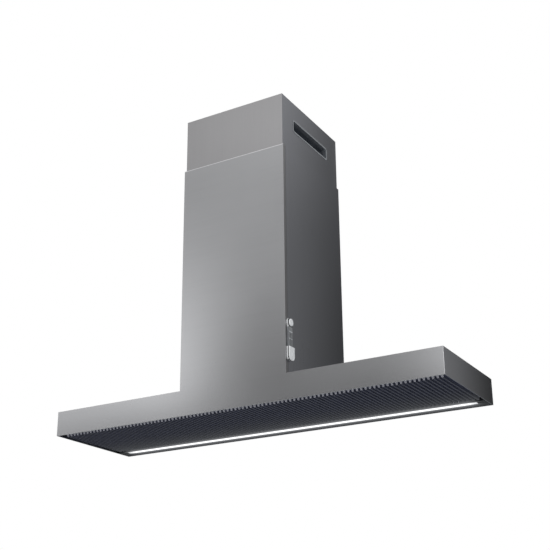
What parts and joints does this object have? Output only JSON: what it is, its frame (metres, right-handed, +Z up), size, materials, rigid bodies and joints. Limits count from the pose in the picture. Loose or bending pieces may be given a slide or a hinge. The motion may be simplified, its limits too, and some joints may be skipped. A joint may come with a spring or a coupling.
{
  "type": "wall range hood",
  "caption": "Wall range hood with a T-shaped steel front, telescopic chimney, side vents, ribbed drop-down suction panel and a light strip along the wall edge.",
  "frame": {"origin": "centre of the four wall bolts, on the surface of the wall", "axes": "+X to the right along the wall, +Y into the wall, +Z up; the front panel faces -Y"},
  "size_m": [1.2, 0.34, 0.905],
  "materials": {
    "front_panel": "fine brushed",
    "lower_chimney_cover": "fine brushed",
    "canopy_shell": "fine brushed",
    "upper_chimney_cover": "fine brushed",
    "inner_tray": "dark grey paint",
    "filter_rails": "galvanised",
    "support_frame": "galvanised",
    "cover_glides": "natural nylon",
    "blower_housing_left": "moulded",
    "blower_housing_right": "moulded",
    "inlet_rings": "moulded",
    "motor_case": "die cast",
    "motor_stator": "laminations with copper windings",
    "motor_bearings": "polished",
    "motor_bracket": "galvanised",
    "run_capacitor": "smooth",
    "outlet_collar": "moulded",
    "flap_rod": "bright",
    "flex_duct": "corrugated foil",
    "duct_clamp_lower": "galvanised",
    "duct_clamp_upper": "galvanised",
    "electronics_box": "moulded",
    "electronics_lid": "moulded",
    "cable_gland": "moulded",
    "lamp_driver": "moulded",
    "control_bar": "satin grey",
    "control_housing": "moulded",
    "control_board": "circuit board",
    "lamp_rail": "dark grey coating",
    "lamp_board": "white circuit strip",
    "lamp_diffuser": "opal, lit from behind",
    "lamp_end_caps": "moulded",
    "filter_frame_left": "mill",
    "filter_frame_right": "mill",
    "filter_mesh_left": "expanded mesh",
    "filter_mesh_right": "expanded mesh",
    "hinge_brackets": "galvanised",
    "hinge_pins": "bright",
    "catch_magnets": "moulded",
    "vent_frame_left": "moulded",
    "vent_frame_right": "moulded",
    "air_deflector": "moulded",
    "upper_bracket": "galvanised",
    "ribbed_panel": "blue-black coating",
    "panel_tray": "black coating",
    "catch_plates": "zinc",
    "impeller": "moulded",
    "impeller_blades": "moulded",
    "impeller_rings": "moulded",
    "motor_shaft": "ground",
    "motor_rotor": "laminations",
    "flap_front": "moulded",
    "flap_rear": "moulded",
    "lamp_button": "satin silver",
    "speed_slider": "satin silver",
    "filter_latch_left": "moulded",
    "filter_latch_right": "moulded"
  },
  "bodies": {
    "hood_body": {"front_panel": "front_panel", "lower_chimney_cover": "lower_chimney_cover", "canopy_shell": "canopy_shell", "inner_tray": "inner_tray", "filter_rails": "filter_rails", "support_frame": "support_frame", "cover_glides": "cover_glides", "blower_housing_left": "blower_housing_left", "blower_housing_right": "blower_housing_right", "inlet_rings": "inlet_rings", "motor_case": "motor_case", "motor_stator": "motor_stator", "motor_bearings": "motor_bearings", "motor_bracket": "motor_bracket", "run_capacitor": "run_capacitor", "outlet_collar": "outlet_collar", "flap_rod": "flap_rod", "flex_duct": "flex_duct", "duct_clamp_lower": "duct_clamp_lower", "electronics_box": "electronics_box", "electronics_lid": "electronics_lid", "cable_gland": "cable_gland", "lamp_driver": "lamp_driver", "control_bar": "control_bar", "control_housing": "control_housing", "control_board": "control_board", "lamp_rail": "lamp_rail", "lamp_board": "lamp_board", "lamp_diffuser": "lamp_diffuser", "lamp_end_caps": "lamp_end_caps", "filter_frame_left": "filter_frame_left", "filter_frame_right": "filter_frame_right", "filter_mesh_left": "filter_mesh_left", "filter_mesh_right": "filter_mesh_right", "hinge_brackets": "hinge_brackets", "hinge_pins": "hinge_pins", "catch_magnets": "catch_magnets"},
    "upper_cover": {"upper_chimney_cover": "upper_chimney_cover", "vent_frame_left": "vent_frame_left", "vent_frame_right": "vent_frame_right", "air_deflector": "air_deflector", "upper_bracket": "upper_bracket", "duct_clamp_upper": "duct_clamp_upper"},
    "bottom_panel": {"ribbed_panel": "ribbed_panel", "panel_tray": "panel_tray", "catch_plates": "catch_plates"},
    "fan": {"impeller": "impeller", "impeller_blades": "impeller_blades", "impeller_rings": "impeller_rings", "motor_shaft": "motor_shaft", "motor_rotor": "motor_rotor"},
    "front_flap": {"flap_front": "flap_front"},
    "rear_flap": {"flap_rear": "flap_rear"},
    "button": {"lamp_button": "lamp_button"},
    "slider": {"speed_slider": "speed_slider"},
    "latch_left": {"filter_latch_left": "filter_latch_left"},
    "latch_right": {"filter_latch_right": "filter_latch_right"}
  },
  "joints": [
    {"name": "cover_slide", "type": "slide", "parent": "hood_body", "child": "upper_cover", "axis": [0, 0, 1], "range_m": [-0.13, 0.29], "deforming": ["flex_duct"]},
    {"name": "panel_hinge", "type": "hinge", "parent": "hood_body", "child": "bottom_panel", "pos_m": [0, -0.059, -0.243], "axis": [1, 0, 0], "range_deg": [0, 85]},
    {"name": "fan_spin", "type": "hinge", "parent": "hood_body", "child": "fan", "pos_m": [0, -0.122, -0.035], "axis": [1, 0, 0], "continuous": true},
    {"name": "front_flap_hinge", "type": "hinge", "parent": "hood_body", "child": "front_flap", "pos_m": [0, -0.186, 0.125], "axis": [-1, 0, 0], "range_deg": [0, 75]},
    {"name": "rear_flap_hinge", "type": "hinge", "parent": "hood_body", "child": "rear_flap", "pos_m": [0, -0.186, 0.125], "axis": [1, 0, 0], "range_deg": [0, 75]},
    {"name": "button_press", "type": "slide", "parent": "hood_body", "child": "button", "axis": [-1, 0, 0], "range_m": [0, 0.0015], "stiffness_N_per_m": 900, "springref_m": -0.0008},
    {"name": "slider_move", "type": "slide", "parent": "hood_body", "child": "slider", "axis": [0, 0, 1], "range_m": [0, 0.053]},
    {"name": "latch_left_pull", "type": "slide", "parent": "hood_body", "child": "latch_left", "axis": [0, 1, 0], "range_m": [0, 0.006], "stiffness_N_per_m": 250, "springref_m": -0.002},
    {"name": "latch_right_pull", "type": "slide", "parent": "hood_body", "child": "latch_right", "axis": [0, 1, 0], "range_m": [0, 0.006], "stiffness_N_per_m": 250, "springref_m": -0.002}
  ]
}
